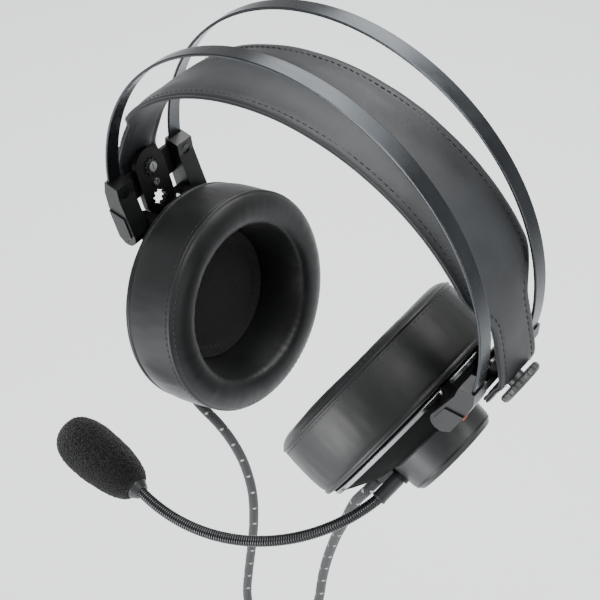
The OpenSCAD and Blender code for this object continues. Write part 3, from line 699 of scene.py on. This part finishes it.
def make_strap():
    """The padded strap with a line of stitches along each edge."""
    line = strap_middle()
    verts, faces, seam = [], [], []
    rows = len(line)
    for i, p in enumerate(line):
        way = (line[min(i + 1, rows - 1)] - line[max(i - 1, 0)]).normalized()
        out = Vector((way.z, 0, -way.x))
        out = out if out.dot(p - mm(0, 0, 60)) > 0 else -out
        half = between(p.z, STRAP_WIDTHS)
        bulge = 0.0007 * step((p.z - 0.07) / 0.03)
        sag = 0.0006 * noise.noise(Vector((p.x * 30, 1.7, p.z * 30)))
        for y, h in strap_section(half, bulge):
            ripple = 0.00025 * noise.noise(Vector((p.x * 90, y * 120, p.z * 90)))
            verts.append(Vector((p.x, y, p.z)) + out * (h + sag + ripple * (1 if h > 0 else 0)))
        if i % 2 == 0 and 2 < i < rows - 3:
            for s in (-1, 1):
                at = Vector((p.x, s * (half - SEAM_IN), p.z)) + out * (STRAP_T / 2 - 0.0001 + sag)
                seam.append((at, way, out))
    count = len(strap_section(0.02, 0))
    for i in range(rows - 1):
        for k in range(count):
            n = (k + 1) % count
            faces.append((i * count + k, i * count + n, (i + 1) * count + n, (i + 1) * count + k))
    faces.append(tuple(range(count)))
    faces.append(tuple((rows - 1) * count + k for k in reversed(range(count))))
    made = outward(add_mesh("strap", verts, faces, STRAP))
    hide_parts("strap_cover", "strap_foam", "strap_lining")
    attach(made, "headband")
    stitches("strap_stitches", seam, 0.0021, 0.00026, THREAD, "headband")


make_strap()

# ---- Ear pads ----

PAD_R, LIP_R = 0.0525, 0.037
CROWN_R = (PAD_R + LIP_R) / 2


def pad_profile():
    """(radius, x, how soft the leather is) from the opening's back edge over the crown to the rim."""
    points = [(31.6, 22.4, 0), (32.0, 19, 0.6), (33.0, 12.5, 1), (34.6, 6, 1), (35.9, 1.6, 0.6),
              (36.6, -0.6, 0.3), (37.5, -2.2, 0.3), (39.3, -3.3, 0.7), (42.0, -3.9, 1), (45.2, -3.9, 1),
              (48.0, -3.2, 0.8), (50.2, -2.0, 0.4), (51.2, -1.0, 0.1), (51.7, -0.7, 0), (52.1, -0.2, 0),
              (52.1, 0.4, 0), (51.7, 0.8, 0), (51.9, 2.6, 0.5), (52.2, 8, 1), (52.4, 14, 1),
              (52.3, 19, 1), (51.9, 23.4, 0.5), (51.5, 24.7, 0), (51.9, 25.1, 0), (51.9, 26.5, 0),
              (51.2, 27.1, 0), (49.9, 27, 0), (49.8, 22.6, 0)]
    fine = smooth_path([Vector(p) for p in points], 3)
    return [(p.x * MM, p.y * MM, max(p.z, 0)) for p in fine]


PAD_SPOKES = 300
SAG = 0.0005              # slow unevenness of the soft leather
WALL_PUCKER, FACE_PUCKER = 0.00012, 0.00005
SEAM_X, SEAM_REACH = -0.002, 0.006   # the inner seam's depth, and how far its folds spread
SEAM_ACROSS = 0.004
FOLD = 0.0003
THREAD_L, THREAD_R = 0.002, 0.00019


def make_pad(side):
    """One ring of leather over foam, in the cup's place, with its two lines of stitches."""
    profile = pad_profile()
    place = cup_place(side)
    spokes = PAD_SPOKES
    seed = 3.1 if side == "left" else 8.7
    verts, faces = [], []
    for k in range(spokes):
        a = 2 * pi * k / spokes
        around = Vector((0, sin(a), cos(a)))
        for r, x, soft in profile:
            broad = noise.noise(Vector((cos(a) * 1.6, sin(a) * 1.6, seed)))
            pucker = noise.noise(Vector((cos(a) * 13, sin(a) * 13, seed + x * 60)))
            outside = r > CROWN_R
            depth = soft * (SAG * broad + (WALL_PUCKER if outside else FACE_PUCKER) * pucker)
            near_seam = max(0, 1 - abs(x - SEAM_X) / SEAM_REACH)
            near_seam *= max(0, 1 - abs(r - LIP_R) / SEAM_ACROSS)
            folds = FOLD * near_seam * noise.noise(Vector((cos(a) * 22, sin(a) * 22, seed)))
            face = x < 0.001      # the crown moves along the cup's axis, the walls across it
            sideways = (depth if outside else -depth) * (0.3 if face else 1)
            deep = x - (depth * 1.2 if face else 0)
            verts.append(place @ (around * (r + sideways - folds) + Vector((deep, 0, 0))))
    count = len(profile)
    for k in range(spokes):
        n = (k + 1) % spokes
        for i in range(count):
            j = (i + 1) % count
            faces.append((k * count + i, n * count + i, n * count + j, k * count + j))
    made = outward(add_mesh(f"{side}_pad_leather", verts, faces, PAD))
    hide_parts(f"{side}_ear_pad")
    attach(made, f"{side}_cup")
    for label, radius, x, count in (("face", 0.0502, -0.0019, 110), ("wall", 0.0519, 0.0019, 110)):
        seam = []
        for k in range(count):
            a = 2 * pi * k / count
            around = Vector((0, sin(a), cos(a)))
            out = around if label == "wall" else (around * 0.7 + Vector((-0.7, 0, 0)))
            turn = place.to_3x3()
            seam.append((place @ (around * radius + Vector((x, 0, 0))),
                         (turn @ Vector((0, cos(a), -sin(a)))).normalized(), (turn @ out).normalized()))
        stitches(f"{side}_pad_{label}_stitches", seam, THREAD_L, THREAD_R, THREAD,
                 f"{side}_cup")


for cup_side in ("left", "right"):
    make_pad(cup_side)

# ---- Microphone ----

MIC_DEPTH, MIC_ANGLE, SLEEVE_REACH = 0.044, radians(35), 0.038
NECK_START = from_cup("left", MIC_DEPTH, MIC_ANGLE, SLEEVE_REACH)[0]
NECK_LEAN = radians(32.7)
BEND_CENTRE = (0.082, -0.0305)
BEND_R = 0.0875
NECK_ANGLES = (159.6, 133, 106.4, 79.8)
NECK_R = 0.0026
RING_PITCH = 0.0011


def plane_point(x, y):
    """A point in the slanted plane that the neck bends in, x to the right and y forward."""
    return NECK_START + Vector((-x, -cos(NECK_LEAN) * y, -sin(NECK_LEAN) * y))


def neck_point(angle):
    """A point on the neck's arc."""
    a = radians(angle)
    return plane_point(BEND_CENTRE[0] + BEND_R * cos(a), BEND_CENTRE[1] + BEND_R * sin(a))


def neck_piece(name, a, b, node_names):
    """A ringed length of neck along its arc between two angles."""
    count = int(radians(a - b) * BEND_R / RING_PITCH) * 4
    line = [neck_point(a + (b - a) * i / count) for i in range(count + 1)]
    depths = (0.0003, 0.00008, 0, 0.00008)
    radii = [NECK_R - depths[i % 4] for i in range(count + 1)]
    made = tube(name, line, radii, FLEX, 24, map_step=1 / 4)
    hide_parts(*node_names)
    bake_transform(made)


MIDDLE_ANGLE = (NECK_ANGLES[1] + NECK_ANGLES[2]) / 2
neck_piece("neck_near", NECK_ANGLES[0] + 0.6, MIDDLE_ANGLE,
           ("gooseneck_base",))
neck_piece("neck_far", MIDDLE_ANGLE + 0.05, NECK_ANGLES[3] - 0.4,
           ("gooseneck_middle", "gooseneck_tip"))

HEAD_TURN = radians(-5)
# (radius, distance from the neck's end) in millimetres
FOAM_PROFILE = [(4.8, 4.9), (5.6, 4.1), (6.6, 4.2), (8.0, 5.8), (9.5, 9), (10.9, 13.5), (12.0, 19.5),
                (12.7, 27), (12.8, 33), (12.7, 37.5), (12.1, 42), (10.7, 46.2), (8.4, 49.4),
                (5.4, 51.1), (2.6, 51.6)]


def make_windscreen():
    """The foam cover on the end of the neck, a little uneven all over."""
    along = (plane_point(cos(HEAD_TURN), sin(HEAD_TURN)) - NECK_START).normalized()
    root = neck_point(NECK_ANGLES[3])
    side = along.cross(Vector((0, 0, 1))).normalized()
    other = along.cross(side)
    profile = smooth_path([Vector((r * MM, z * MM, 0)) for r, z in FOAM_PROFILE], 6)
    spokes = 160
    verts, faces = [], []
    for k in range(spokes):
        a = 2 * pi * k / spokes
        around = side * cos(a) + other * sin(a)
        for p in profile:
            here = root + around * p.x + along * p.y
            grain = 0.00028 * noise.noise(here * 900) + 0.0002 * noise.noise(here * 1900)
            grain += 0.0003 * noise.noise(here * 90)
            verts.append(here + around * grain + along * grain * 0.5)
    verts.append(root + along * (FOAM_PROFILE[-1][1] + 0.1) * MM)
    verts.append(root + along * FOAM_PROFILE[0][1] * MM)
    count = len(profile)
    for k in range(spokes):
        n = (k + 1) % spokes
        for i in range(count - 1):
            faces.append((k * count + i, n * count + i, n * count + i + 1, k * count + i + 1))
        faces.append((k * count + count - 1, n * count + count - 1, len(verts) - 2))
        faces.append((n * count, k * count, len(verts) - 1))
    made = outward(add_mesh("windscreen", verts, faces, WINDSCREEN))
    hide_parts("mic_foam")
    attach(made, "mic_end")


make_windscreen()

# ---- Floor and light ----

FLOOR_Z = -0.475


def make_floor():
    half = 6
    verts = [(x * half, y * half, FLOOR_Z) for x, y in ((-1, -1), (1, -1), (1, 1), (-1, 1))]
    mesh = bpy.data.meshes.new("floor")
    mesh.from_pydata(verts, [], [(0, 1, 2, 3)])
    mesh.materials.append(floor_white("floor_white"))
    made = bpy.data.objects.new("floor", mesh)
    bpy.context.scene.collection.objects.link(made)


def area_light(name, at, aim, size, power):
    data = bpy.data.lights.new(name, "AREA")
    data.shape = "RECTANGLE"
    data.size, data.size_y = size
    data.energy = power
    made = bpy.data.objects.new(name, data)
    made.location = at
    made.rotation_euler = (Vector(aim) - Vector(at)).to_track_quat("-Z", "Y").to_euler()
    bpy.context.scene.collection.objects.link(made)


def make_light():
    """Soft studio light: a large lamp overhead, and small ones in front, behind and to the right."""
    world = bpy.data.worlds.new("studio")
    world.use_nodes = True
    background = world.node_tree.nodes["Background"]
    background.inputs["Color"].default_value = (1, 1, 1, 1)
    background.inputs["Strength"].default_value = 0.6
    bpy.context.scene.world = world
    area_light("overhead", (0.1, 0.3, 1.8), (0, 0, 0), (2.0, 2.0), 75)
    area_light("front", (-0.15, -1.2, -0.1), (0, 0, 0), (0.5, 0.7), 16)
    area_light("back", (-0.5, 0.9, 0.9), (0, 0, 0.05), (0.9, 0.4), 8)
    area_light("right", (1.1, 0.1, 0.3), (0, 0, 0.05), (0.3, 0.8), 6)


make_floor()
make_light()
